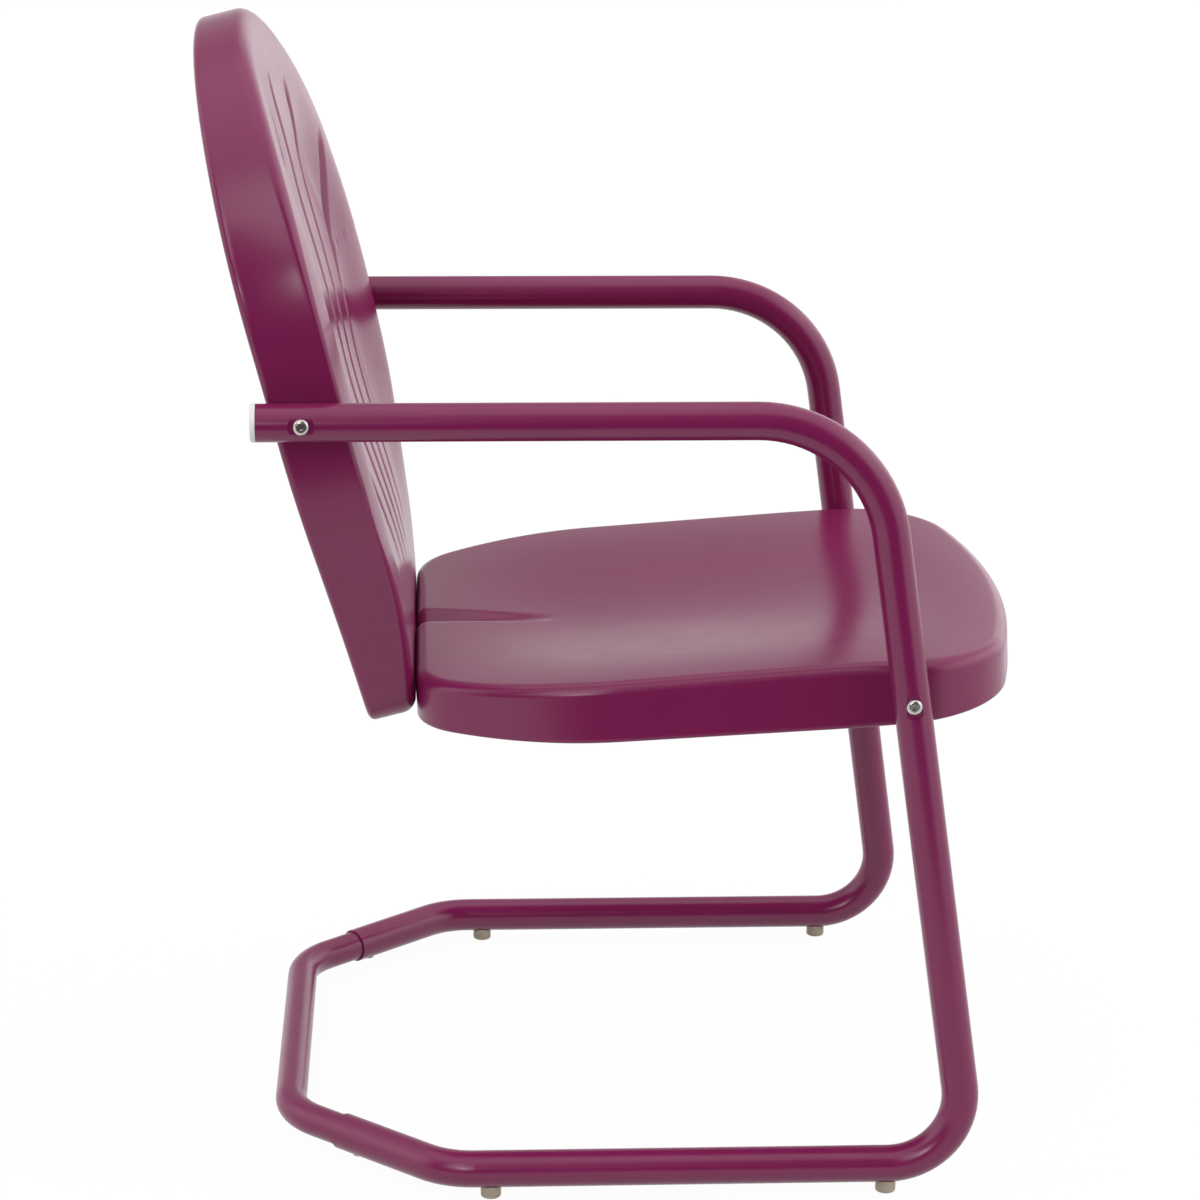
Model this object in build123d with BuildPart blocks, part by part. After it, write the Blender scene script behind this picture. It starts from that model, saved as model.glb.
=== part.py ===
from build123d import *
from math import acos, atan, cos, radians, sin, sqrt, tan
import os

os.makedirs("parts", exist_ok=True)

# Driving sizes in millimetres: the chair faces +X, its left is +Y, the floor is z = 0

# Side frame tube
tube_d = 28.0
tube_wall = 1.4
arm_height = 597.0
arm_tail = 33.0
arm_front_x = 182.0
foot_front_x = 265.5
base_rear_x = -132.5
base_half = 258.0
arm_bend = 100.0
foot_bend = 54.0
base_bend = 55.0

# Rear link tube that joins the two side frames
link_wall = 1.2
link_rear_x = -255.0
link_half = 150.5
link_bend = 60.0
link_insert = 48.0
joint_share = 0.65

# Pressed sheet of the seat and the back
sheet = 1.5
hem_height = 10.0

# Back shell, measured in its own leaning plane
back_rake = 14.35
back_x = -188.0
back_z = 340.0
back_half = 214.3
back_foot_half = 150.0
back_arch_u = 316.2
back_waist_u = 196.0
back_depth = 66.5
back_crown = 0.0003236
back_crown_u = 306.0
back_dish = 15.0
back_dish_fade = 0.35
back_edge = 10.0
back_corner = 24.0
back_waist_bend = 300.0
back_curl_u = 396.0
back_curl_radius = 1496.0
flute_radius = 9.0
flute_depth = 2.6
flute_rows = ((0.0, 0.0, 493.0, 66.0), (75.0, 32.0, 475.0, 68.0), (155.0, 68.0, 419.0, 80.0))

# Seat pan, measured in its own tilted plane
seat_tilt = 3.1
seat_x = 1.0
seat_z = 352.6
seat_front = 313.0
seat_front_radius = 690.0
seat_front_corner = 90.0
seat_rear_corner = 60.0
seat_taper_s = 0.0
seat_taper_radius = 250.0
seat_skirt = 38.4
seat_skirt_gain = 0.0195
seat_dish = 12.0
seat_rear_rise = 14.0
seat_front_drop = 8.0
seat_edge = 12.0
seat_lift_s = 225.0
seat_lift_radius = 775.0
seat_groove_length = 108.0
seat_groove_radius = 14.0
seat_groove_depth = 7.0

# Fasteners and fittings
bolt_d = 6.0
bolt_head_d = 12.0
bolt_head_h = 3.3
hex_key = 4.0
washer_d = 11.0
washer_h = 1.6
nut_af = 10.0
nut_h = 5.0
bolt_tail = 2.5
flat_d = 19.0
flat_depth = 1.2
arm_bolt_in = 20.1
seat_bolt_up = 22.0
rear_bolt_up = 18.0
rear_bolt_half = 72.0
screw_d = 4.6
screw_head_d = 9.0
screw_head_h = 2.4
screw_length = 9.0
glide_d = 15.5
glide_h = 8.0
glide_stem_d = 6.0
glide_front_x = 202.0
glide_rear_x = -99.0
cap_h = 4.0
cap_plug = 14.0

# Clearances
hole_gap = 0.3
slide_gap = 0.3
skin_gap = 0.35
curve_gap = 0.9
washer_gap = 0.1

# Sizes that follow from the ones above
tube_r = tube_d / 2
bore_r = tube_r - tube_wall
link_r = bore_r - slide_gap
base_z = glide_h + tube_r
arm_half = back_half + skin_gap + tube_r
rake = radians(back_rake)
tilt = radians(seat_tilt)
back_plane = Plane(origin=(back_x, 0, back_z), x_dir=(0, 1, 0), z_dir=(cos(rake), 0, sin(rake)))
seat_plane = Plane(
    origin=(seat_x, 0, seat_z),
    x_dir=(cos(tilt), 0, sin(tilt)),
    z_dir=(-sin(tilt), 0, cos(tilt)),
)

# The arm bolt crosses the back's side flange at the arm's height, a set way in front of the rim
arm_bolt_u = (arm_height - back_z - arm_bolt_in * sin(rake)) / cos(rake)
arm_bolt_x = back_x - arm_bolt_u * sin(rake) + arm_bolt_in * cos(rake)
arm_end_x = arm_bolt_x - arm_tail


def leg_half(z):
    """Sideways place of the leaning leg's middle line at height z."""
    return arm_half + (base_half - arm_half) * (arm_height - z) / (arm_height - base_z)


def leg_x(z):
    """Forward place of the leaning leg's middle line at height z."""
    return arm_front_x + (foot_front_x - arm_front_x) * (arm_height - z) / (arm_height - base_z)


def flange_half(u):
    """Half width of the back's outline at height u."""
    lean = atan((back_half - back_foot_half) / back_waist_u)
    bend_top = back_waist_u + back_waist_bend * tan(lean / 2)
    bend_foot = bend_top - back_waist_bend * sin(lean)
    if u > back_arch_u:
        return sqrt(back_half ** 2 - (u - back_arch_u) ** 2)
    if u > bend_top:
        return back_half
    if u > bend_foot:
        return back_half - back_waist_bend + sqrt(back_waist_bend ** 2 - (bend_top - u) ** 2)
    return back_foot_half + (back_half - back_foot_half) * u / back_waist_u


def back_front(u, y):
    """Depth of the back's front skin above the rim plane at height u and side place y."""
    bowed = back_depth - back_crown * (u - back_crown_u) ** 2
    share = min(1.0, max(0.0, (u - 50.0) / 200.0))
    blend = share * share * (3 - 2 * share)
    fade = 1 - back_dish_fade * max(0.0, (u - back_crown_u) / 200.0) ** 2
    return bowed - back_dish * blend * fade * (1 - (y / back_half) ** 2)


# The seat's rear skirt stands just off the back's front skin at the rim height
rear_touch = back_plane.from_local_coords(Vector(0, 0, back_front(0, 0)))
seat_rear = seat_plane.to_local_coords(rear_touch).X + skin_gap
seat_bolt_z = seat_z + (leg_x(seat_z) - seat_x) * tan(tilt) + seat_bolt_up
seat_bolt_x = leg_x(seat_bolt_z)
seat_half = leg_half(seat_bolt_z + seat_edge) - tube_r - skin_gap


def seat_top(s, y):
    """Height of the seat's top skin above its lower edge at forward place s and side place y."""
    level = seat_skirt + seat_skirt_gain * s
    along = max(0.0, 1 - ((s - 75.0) / 235.0) ** 2)
    across = max(0.0, 1 - (y / seat_half) ** 2)
    front = max(0.0, (s - 200.0) / 120.0)
    rear = min(1.0, max(0.0, (-30.0 - s) / 127.0))
    rise = seat_rear_rise * rear * rear * (3 - 2 * rear) * max(0.0, 1 - (y / 170.0) ** 2)
    return level + rise - seat_dish * along * along * across - seat_front_drop * front * front


def bent_path(points, radii):
    """Adds straight runs joined by round bends to the open line builder."""
    start = Vector(*points[0])
    for before, middle, after, radius in zip(points, points[1:], points[2:], radii):
        corner = Vector(*middle)
        u = (Vector(*before) - corner).normalized()
        v = (Vector(*after) - corner).normalized()
        half = acos(u.dot(v)) / 2
        begin = corner + u * (radius / tan(half))
        finish = corner + v * (radius / tan(half))
        crest = corner + (u + v).normalized() * (radius / sin(half) - radius)
        Line(start, begin)
        ThreePointArc(begin, crest, finish)
        start = finish
    Line(start, Vector(*points[-1]))


# Corner points of the right side frame and of the rear link
diagonal = Vector(link_rear_x - base_rear_x, base_half - link_half, 0)
joint = Vector(base_rear_x, -base_half, base_z) + diagonal * joint_share
plug = joint - diagonal.normalized() * link_insert
side_points = (
    (arm_end_x, -arm_half, arm_height),
    (arm_front_x, -arm_half, arm_height),
    (foot_front_x, -base_half, base_z),
    (base_rear_x, -base_half, base_z),
    (joint.X, joint.Y, base_z),
)
side_bends = (arm_bend, foot_bend, base_bend)
link_points = (
    (plug.X, plug.Y, base_z),
    (link_rear_x, -link_half, base_z),
    (link_rear_x, link_half, base_z),
    (plug.X, -plug.Y, base_z),
)
arm_start = Plane(origin=side_points[0], z_dir=(1, 0, 0))
link_start = Plane(origin=link_points[0], z_dir=diagonal.normalized())
screw_at = joint - diagonal.normalized() * (link_insert / 3)
arm_flat_y = -(arm_half + tube_r - flat_depth)
seat_flat_y = -(leg_half(seat_bolt_z) + tube_r - flat_depth)
arm_bolt_plane = Plane(origin=(arm_bolt_x, arm_flat_y, arm_height), x_dir=(1, 0, 0), z_dir=(0, -1, 0))
seat_bolt_plane = Plane(origin=(seat_bolt_x, seat_flat_y, seat_bolt_z), x_dir=(1, 0, 0), z_dir=(0, -1, 0))


def side_rod(radius, inset):
    """Solid bent rod of the right side frame with pressed flats where its two bolts sit."""
    with BuildPart() as rod:
        with BuildLine() as path:
            bent_path(side_points, side_bends)
        with BuildSketch(arm_start):
            Circle(radius)
        sweep(path=path.line)
        for plane in (arm_bolt_plane, seat_bolt_plane):
            with BuildSketch(plane.offset(-inset)):
                Circle(flat_d / 2 + inset)
            extrude(amount=tube_r, mode=Mode.SUBTRACT)
    return rod.part


# Side frames: one bent tube each for arm, front leg, base rail and inward run
with BuildPart() as right_side_tube:
    add(side_rod(tube_r, 0))
    add(side_rod(bore_r, tube_wall), mode=Mode.SUBTRACT)
    for plane in (arm_bolt_plane, seat_bolt_plane):
        with BuildSketch(plane.offset(tube_r)):
            Circle(bolt_d / 2 + hole_gap)
        extrude(amount=-4 * tube_r, mode=Mode.SUBTRACT)
    for x in (glide_front_x, glide_rear_x):
        with BuildSketch(Plane(origin=(x, -base_half, base_z))):
            Circle(glide_stem_d / 2 + hole_gap)
        extrude(amount=-2 * tube_r, mode=Mode.SUBTRACT)
    with BuildSketch(Plane(origin=(screw_at.X, screw_at.Y, base_z))):
        Circle(screw_d / 2 + hole_gap)
    extrude(amount=-2 * tube_r, mode=Mode.SUBTRACT)
right_side_tube.part.label = "right_side_tube"
export_step(right_side_tube.part, "parts/right_side_tube.step")

with BuildPart() as left_side_tube:
    mirror(right_side_tube.part, about=Plane.XZ)
left_side_tube.part.label = "left_side_tube"
export_step(left_side_tube.part, "parts/left_side_tube.step")

# Rear link: the thinner bent tube that plugs into both side frames
with BuildPart() as rear_link_tube:
    with BuildLine() as link_path:
        bent_path(link_points, (link_bend, link_bend))
    with BuildSketch(link_start):
        Circle(link_r)
        Circle(link_r - link_wall, mode=Mode.SUBTRACT)
    sweep(path=link_path.line)
    for side in (1, -1):
        with BuildSketch(Plane(origin=(screw_at.X, side * screw_at.Y, base_z))):
            Circle(screw_d / 2 + hole_gap)
        extrude(amount=-2 * tube_r, mode=Mode.SUBTRACT)
rear_link_tube.part.label = "rear_link_tube"
export_step(rear_link_tube.part, "parts/rear_link_tube.step")

# Front skin of the back as a curved face through points of its formula
back_grid = []
for row in range(15):
    u = -40.0 + 45.0 * row
    points = []
    for column in range(11):
        y = (column - 5) * back_half * 0.24
        points.append(back_plane.from_local_coords(Vector(y, u, back_front(u, y))))
    back_grid.append(points)
back_skin = Face.make_surface_from_array_of_points(back_grid)


def flute_points(top_y, foot_y, top_u, foot_u):
    """Middle line of one pressed flute, sinking into the skin between its two run-outs."""
    line = []
    for step in range(11):
        share = step / 10
        u = top_u + (foot_u - top_u) * share
        y = top_y + (foot_y - top_y) * share
        sink = (flute_depth + 1.0) * (1 - (2 * share - 1) ** 6) - 1.0
        line.append(back_plane.from_local_coords(Vector(y, u, back_front(u, y) + flute_radius - sink)))
    return line


flute_lines = []
for top_y, foot_y, top_u, foot_u in flute_rows:
    flute_lines.append(flute_points(top_y, foot_y, top_u, foot_u))
    if top_y > 0:
        flute_lines.append(flute_points(-top_y, -foot_y, top_u, foot_u))


def back_outline(inset):
    """Outline of the back in its leaning plane, drawn in by inset."""
    with BuildSketch() as outline:
        with BuildLine():
            Line((-back_foot_half, 0), (back_foot_half, 0))
            Line((back_foot_half, 0), (back_half, back_waist_u))
            Line((back_half, back_waist_u), (back_half, back_arch_u))
            ThreePointArc((back_half, back_arch_u), (0, back_arch_u + back_half), (-back_half, back_arch_u))
            Line((-back_half, back_arch_u), (-back_half, back_waist_u))
            Line((-back_half, back_waist_u), (-back_foot_half, 0))
        make_face()
        waist = outline.vertices().filter_by_position(Axis.Y, back_waist_u - 1, back_waist_u + 1)
        fillet(waist, back_waist_bend)
        fillet(outline.vertices().filter_by_position(Axis.Y, -1, 1), back_corner)
        if inset > 0:
            offset(amount=-inset)
    return outline.sketch


def back_body(inset, start):
    """Solid filling of the back, drawn in from its outer skin by inset and starting at depth start."""
    with BuildPart() as body:
        with BuildSketch(back_plane.offset(start)):
            add(back_outline(inset))
        extrude(amount=2 * back_depth)
        skin = back_skin.moved(Location(back_plane.z_dir * -inset))
        extrude(skin, amount=4 * back_depth, dir=back_plane.z_dir, mode=Mode.SUBTRACT)
        front = body.faces().sort_by(Axis(back_plane.origin, back_plane.z_dir))[-1]
        fillet(front.edges(), back_edge - inset)
        for line in flute_lines:
            with BuildLine() as path:
                Spline(*line)
            with BuildSketch(Plane(origin=line[0], z_dir=path.line % 0)):
                Circle(flute_radius + inset)
            sweep(path=path.line, mode=Mode.SUBTRACT)
    return body.part


# Planes of the bolts that hold the back to the seat's rear skirt
rear_bolt_planes = []
for y in (-rear_bolt_half, rear_bolt_half):
    origin = seat_plane.from_local_coords(Vector(seat_rear, y, rear_bolt_up))
    rear_bolt_planes.append(Plane(origin=origin, x_dir=(0, 1, 0), z_dir=-seat_plane.x_dir))

# Back: one pressed shell with rolled front edge, hemmed rim and five flutes
with BuildPart() as back_shell:
    add(back_body(0, 0))
    add(back_body(sheet, -sheet), mode=Mode.SUBTRACT)
    with BuildSketch(back_plane):
        add(back_outline(sheet / 2))
        add(back_outline(2 * sheet), mode=Mode.SUBTRACT)
    extrude(amount=hem_height)
    crown_u = back_arch_u + back_half + 10.0
    crown_n = (crown_u - back_curl_u) ** 2 / (2 * back_curl_radius)
    with BuildSketch(Plane(origin=back_plane.origin, x_dir=back_plane.y_dir, z_dir=back_plane.x_dir)):
        with BuildLine():
            TangentArc((back_curl_u, 0), (crown_u, crown_n), tangent=(1, 0))
            Polyline((crown_u, crown_n), (crown_u, -10.0), (back_curl_u, -10.0), (back_curl_u, 0))
        make_face()
    extrude(amount=back_half + 10.0, both=True, mode=Mode.SUBTRACT)
    for plane in rear_bolt_planes:
        with BuildSketch(plane.offset(-20)):
            Circle(bolt_d / 2 + hole_gap)
        extrude(amount=60, mode=Mode.SUBTRACT)
    for side in (-1, 1):
        outside = (arm_bolt_x, side * (back_half + 5), arm_height)
        with BuildSketch(Plane(origin=outside, z_dir=(0, -side, 0))):
            Circle(bolt_d / 2 + hole_gap)
        extrude(amount=20, mode=Mode.SUBTRACT)
back_shell.part.label = "back_shell"
export_step(back_shell.part, "parts/back_shell.step")

# Top skin of the seat as a curved face through points of its formula
seat_grid = []
for row in range(15):
    s = seat_rear - 20.0 + (seat_front - seat_rear + 40.0) * row / 14
    points = []
    for column in range(13):
        y = (column - 6) * (seat_half + 15.0) / 6
        points.append(seat_plane.from_local_coords(Vector(s, y, seat_top(s, y))))
    seat_grid.append(points)
seat_skin = Face.make_surface_from_array_of_points(seat_grid)


def seat_outline(inset):
    """Outline of the seat in its tilted plane, drawn in by inset."""
    side_front = seat_front - seat_front_radius + sqrt(seat_front_radius ** 2 - seat_half ** 2)
    middle = (seat_rear + seat_taper_s) / 2
    taper_centre = seat_half - seat_taper_radius
    middle_half = taper_centre + sqrt(seat_taper_radius ** 2 - (middle - seat_taper_s) ** 2)
    rear_half = taper_centre + sqrt(seat_taper_radius ** 2 - (seat_rear - seat_taper_s) ** 2)
    with BuildSketch() as outline:
        with BuildLine():
            Line((seat_rear, rear_half), (seat_rear, -rear_half))
            ThreePointArc((seat_rear, -rear_half), (middle, -middle_half), (seat_taper_s, -seat_half))
            Line((seat_taper_s, -seat_half), (side_front, -seat_half))
            ThreePointArc((side_front, -seat_half), (seat_front, 0), (side_front, seat_half))
            Line((side_front, seat_half), (seat_taper_s, seat_half))
            ThreePointArc((seat_taper_s, seat_half), (middle, middle_half), (seat_rear, rear_half))
        make_face()
        front = outline.vertices().filter_by_position(Axis.X, side_front - 1, side_front + 1)
        fillet(front, seat_front_corner)
        rear = outline.vertices().filter_by_position(Axis.X, seat_rear - 1, seat_rear + 1)
        fillet(rear, seat_rear_corner)
        if inset > 0:
            offset(amount=-inset)
    return outline.sketch


def seat_body(inset, start):
    """Solid filling of the seat, drawn in from its outer skin by inset and starting at height start."""
    with BuildPart() as body:
        with BuildSketch(seat_plane.offset(start)):
            add(seat_outline(inset))
        extrude(amount=3 * seat_skirt)
        skin = seat_skin.moved(Location(seat_plane.z_dir * -inset))
        extrude(skin, amount=6 * seat_skirt, dir=seat_plane.z_dir, mode=Mode.SUBTRACT)
        top = body.faces().sort_by(Axis(seat_plane.origin, seat_plane.z_dir))[-1]
        fillet(top.edges(), seat_edge - inset)
        tip = seat_top(seat_rear + seat_groove_length, 0) + 0.5
        mouth = seat_top(seat_rear, 0) + seat_groove_radius - seat_groove_depth
        tip_at = seat_plane.from_local_coords(Vector(seat_rear + seat_groove_length, 0, tip))
        mouth_at = seat_plane.from_local_coords(Vector(seat_rear - 10.0, 0, mouth))
        with BuildSketch(Plane(origin=tip_at, z_dir=seat_plane.x_dir)):
            Circle(0.5 + inset)
        with BuildSketch(Plane(origin=mouth_at, z_dir=seat_plane.x_dir)):
            Circle(seat_groove_radius + inset)
        loft(mode=Mode.SUBTRACT)
    return body.part


# Seat: one pressed pan with rolled edge, hemmed skirt and a groove at the rear
with BuildPart() as seat_pan:
    add(seat_body(0, 0))
    add(seat_body(sheet, -sheet), mode=Mode.SUBTRACT)
    with BuildSketch(seat_plane):
        add(seat_outline(sheet / 2))
        add(seat_outline(2 * sheet), mode=Mode.SUBTRACT)
    extrude(amount=hem_height)
    lift_s = seat_front + 10.0
    lift_h = (lift_s - seat_lift_s) ** 2 / (2 * seat_lift_radius)
    with BuildSketch(Plane(origin=seat_plane.origin, x_dir=seat_plane.x_dir, z_dir=(0, -1, 0))):
        with BuildLine():
            TangentArc((seat_lift_s, 0), (lift_s, lift_h), tangent=(1, 0))
            Polyline((lift_s, lift_h), (lift_s, -10.0), (seat_lift_s, -10.0), (seat_lift_s, 0))
        make_face()
    extrude(amount=seat_half + 10.0, both=True, mode=Mode.SUBTRACT)
    for plane in rear_bolt_planes:
        with BuildSketch(plane.offset(-20)):
            Circle(bolt_d / 2 + hole_gap)
        extrude(amount=40, mode=Mode.SUBTRACT)
    for side in (-1, 1):
        outside = (seat_bolt_x, side * (seat_half + 5), seat_bolt_z)
        with BuildSketch(Plane(origin=outside, z_dir=(0, -side, 0))):
            Circle(bolt_d / 2 + hole_gap)
        extrude(amount=20, mode=Mode.SUBTRACT)
seat_pan.part.label = "seat_pan"
export_step(seat_pan.part, "parts/seat_pan.step")


def button_bolt(plane, length, d, head_d, head_h, key):
    """Button-head bolt whose head sits on the plane and whose shank runs against its normal."""
    axis = Axis(plane.origin, plane.z_dir)
    with BuildPart() as bolt:
        with BuildSketch(plane):
            Circle(head_d / 2)
        extrude(amount=head_h)
        fillet(bolt.faces().sort_by(axis)[-1].edges(), head_h * 0.85)
        with BuildSketch(plane):
            Circle(d / 2)
        extrude(amount=-length)
        chamfer(bolt.faces().sort_by(axis)[0].edges(), d / 10)
        with BuildSketch(plane.offset(head_h)):
            RegularPolygon(key / 2, 6, major_radius=False)
        extrude(amount=-head_h * 0.65, mode=Mode.SUBTRACT)
    return bolt.part


def flat_washer(plane):
    """Plain washer lying on the plane."""
    with BuildPart() as ring:
        with BuildSketch(plane):
            Circle(washer_d / 2)
            Circle(bolt_d / 2 + hole_gap, mode=Mode.SUBTRACT)
        extrude(amount=washer_h)
    return ring.part


def lock_nut(plane):
    """Hexagon lock nut with a round collar, lying on the plane."""
    with BuildPart() as nut:
        with BuildSketch(plane):
            RegularPolygon(nut_af / 2, 6, major_radius=False)
        extrude(amount=nut_h * 0.7)
        with BuildSketch(plane):
            Circle(nut_af * 0.45)
        extrude(amount=nut_h)
        with BuildSketch(plane):
            Circle(bolt_d / 2 + hole_gap)
        extrude(amount=nut_h, mode=Mode.SUBTRACT)
    return nut.part


# Arm bolts: through the arm tube and the back's side flange
arm_seat_half = min(flange_half(arm_bolt_u - washer_d / 2), flange_half(arm_bolt_u + washer_d / 2))
arm_nut_y = sheet - arm_seat_half
arm_nut_plane = Plane(origin=(arm_bolt_x, arm_nut_y, arm_height), x_dir=(1, 0, 0), z_dir=(0, 1, 0))
arm_length = arm_nut_y - arm_flat_y + washer_h + nut_h + bolt_tail
with BuildPart() as right_arm_bolt:
    add(button_bolt(arm_bolt_plane, arm_length, bolt_d, bolt_head_d, bolt_head_h, hex_key))
right_arm_bolt.part.label = "right_arm_bolt"
export_step(right_arm_bolt.part, "parts/right_arm_bolt.step")

with BuildPart() as right_arm_washer:
    add(flat_washer(arm_nut_plane))
right_arm_washer.part.label = "right_arm_washer"
export_step(right_arm_washer.part, "parts/right_arm_washer.step")

with BuildPart() as right_arm_nut:
    add(lock_nut(arm_nut_plane.offset(washer_h)))
right_arm_nut.part.label = "right_arm_nut"
export_step(right_arm_nut.part, "parts/right_arm_nut.step")

with BuildPart() as left_arm_bolt:
    mirror(right_arm_bolt.part, about=Plane.XZ)
left_arm_bolt.part.label = "left_arm_bolt"
export_step(left_arm_bolt.part, "parts/left_arm_bolt.step")

with BuildPart() as left_arm_washer:
    mirror(right_arm_washer.part, about=Plane.XZ)
left_arm_washer.part.label = "left_arm_washer"
export_step(left_arm_washer.part, "parts/left_arm_washer.step")

with BuildPart() as left_arm_nut:
    mirror(right_arm_nut.part, about=Plane.XZ)
left_arm_nut.part.label = "left_arm_nut"
export_step(left_arm_nut.part, "parts/left_arm_nut.step")

# Seat bolts: through the front leg and the seat's side skirt, each washer clear of the front corner's curve
corner_reach = sqrt((seat_front_radius - seat_front_corner) ** 2 - (seat_half - seat_front_corner) ** 2)
seat_corner_s = seat_front - seat_front_radius + corner_reach
seat_bolt_s = seat_plane.to_local_coords(Vector(seat_bolt_x, 0, seat_bolt_z)).X
past_corner = max(0.0, seat_bolt_s + washer_d / 2 - seat_corner_s)
inner_corner = seat_front_corner - sheet
corner_fall = inner_corner - sqrt(inner_corner ** 2 - past_corner ** 2)
seat_nut_y = sheet + max(curve_gap, corner_fall + washer_gap) - seat_half
seat_nut_plane = Plane(origin=(seat_bolt_x, seat_nut_y, seat_bolt_z), x_dir=(1, 0, 0), z_dir=(0, 1, 0))
seat_length = seat_nut_y - seat_flat_y + washer_h + nut_h + bolt_tail
with BuildPart() as right_seat_bolt:
    add(button_bolt(seat_bolt_plane, seat_length, bolt_d, bolt_head_d, bolt_head_h, hex_key))
right_seat_bolt.part.label = "right_seat_bolt"
export_step(right_seat_bolt.part, "parts/right_seat_bolt.step")

with BuildPart() as right_seat_washer:
    add(flat_washer(seat_nut_plane))
right_seat_washer.part.label = "right_seat_washer"
export_step(right_seat_washer.part, "parts/right_seat_washer.step")

with BuildPart() as right_seat_nut:
    add(lock_nut(seat_nut_plane.offset(washer_h)))
right_seat_nut.part.label = "right_seat_nut"
export_step(right_seat_nut.part, "parts/right_seat_nut.step")

with BuildPart() as left_seat_bolt:
    mirror(right_seat_bolt.part, about=Plane.XZ)
left_seat_bolt.part.label = "left_seat_bolt"
export_step(left_seat_bolt.part, "parts/left_seat_bolt.step")

with BuildPart() as left_seat_washer:
    mirror(right_seat_washer.part, about=Plane.XZ)
left_seat_washer.part.label = "left_seat_washer"
export_step(left_seat_washer.part, "parts/left_seat_washer.step")

with BuildPart() as left_seat_nut:
    mirror(right_seat_nut.part, about=Plane.XZ)
left_seat_nut.part.label = "left_seat_nut"
export_step(left_seat_nut.part, "parts/left_seat_nut.step")


def skin_reach(y, up):
    """Distance from the seat's rear skirt back to the inner face of the back's skin."""
    reach = 0.0
    for step in range(12):
        at = back_plane.to_local_coords(seat_plane.from_local_coords(Vector(seat_rear - reach, y, up)))
        reach = reach + at.Z - back_front(at.Y, at.X) + sheet
    return reach


# Rear bolts: from inside the back through its skin and the seat's rear skirt
head_plane = rear_bolt_planes[0].offset(skin_reach(rear_bolt_half, rear_bolt_up) + skin_gap)
skirt_plane = Plane(
    origin=rear_bolt_planes[0].origin + seat_plane.x_dir * sheet,
    x_dir=(0, 1, 0),
    z_dir=seat_plane.x_dir,
)
rear_grip = (head_plane.origin - skirt_plane.origin).length
with BuildPart() as right_rear_washer:
    add(flat_washer(head_plane))
right_rear_washer.part.label = "right_rear_washer"
export_step(right_rear_washer.part, "parts/right_rear_washer.step")

with BuildPart() as right_rear_bolt:
    rear_length = 2 * washer_h + rear_grip + nut_h + bolt_tail
    add(button_bolt(head_plane.offset(washer_h), rear_length, bolt_d, bolt_head_d, bolt_head_h, hex_key))
right_rear_bolt.part.label = "right_rear_bolt"
export_step(right_rear_bolt.part, "parts/right_rear_bolt.step")

with BuildPart() as right_skirt_washer:
    add(flat_washer(skirt_plane))
right_skirt_washer.part.label = "right_skirt_washer"
export_step(right_skirt_washer.part, "parts/right_skirt_washer.step")

with BuildPart() as right_rear_nut:
    add(lock_nut(skirt_plane.offset(washer_h)))
right_rear_nut.part.label = "right_rear_nut"
export_step(right_rear_nut.part, "parts/right_rear_nut.step")

with BuildPart() as left_rear_washer:
    mirror(right_rear_washer.part, about=Plane.XZ)
left_rear_washer.part.label = "left_rear_washer"
export_step(left_rear_washer.part, "parts/left_rear_washer.step")

with BuildPart() as left_rear_bolt:
    mirror(right_rear_bolt.part, about=Plane.XZ)
left_rear_bolt.part.label = "left_rear_bolt"
export_step(left_rear_bolt.part, "parts/left_rear_bolt.step")

with BuildPart() as left_skirt_washer:
    mirror(right_skirt_washer.part, about=Plane.XZ)
left_skirt_washer.part.label = "left_skirt_washer"
export_step(left_skirt_washer.part, "parts/left_skirt_washer.step")

with BuildPart() as left_rear_nut:
    mirror(right_rear_nut.part, about=Plane.XZ)
left_rear_nut.part.label = "left_rear_nut"
export_step(left_rear_nut.part, "parts/left_rear_nut.step")

# Joint screws: up through each side frame into the rear link
screw_plane = Plane(origin=(screw_at.X, screw_at.Y, glide_h - skin_gap), x_dir=(1, 0, 0), z_dir=(0, 0, -1))
with BuildPart() as right_joint_screw:
    add(button_bolt(screw_plane, screw_length, screw_d, screw_head_d, screw_head_h, hex_key * 0.75))
right_joint_screw.part.label = "right_joint_screw"
export_step(right_joint_screw.part, "parts/right_joint_screw.step")

with BuildPart() as left_joint_screw:
    mirror(right_joint_screw.part, about=Plane.XZ)
left_joint_screw.part.label = "left_joint_screw"
export_step(left_joint_screw.part, "parts/left_joint_screw.step")

# Arm caps: a rounded plastic disc with a plug inside the tube
cap_plane = Plane(origin=side_points[0], x_dir=(0, 1, 0), z_dir=(-1, 0, 0))
with BuildPart() as right_arm_cap:
    with BuildSketch(cap_plane):
        Circle(tube_r)
    extrude(amount=cap_h)
    fillet(right_arm_cap.faces().sort_by(Axis.X)[0].edges(), cap_h * 0.5)
    with BuildSketch(cap_plane):
        Circle(bore_r - slide_gap)
    extrude(amount=-cap_plug)
    with BuildSketch(cap_plane.offset(-cap_plug)):
        Circle(bore_r - slide_gap - 2.0)
    extrude(amount=cap_plug - 1.0, mode=Mode.SUBTRACT)
right_arm_cap.part.label = "right_arm_cap"
export_step(right_arm_cap.part, "parts/right_arm_cap.step")

with BuildPart() as left_arm_cap:
    mirror(right_arm_cap.part, about=Plane.XZ)
left_arm_cap.part.label = "left_arm_cap"
export_step(left_arm_cap.part, "parts/left_arm_cap.step")


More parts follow.
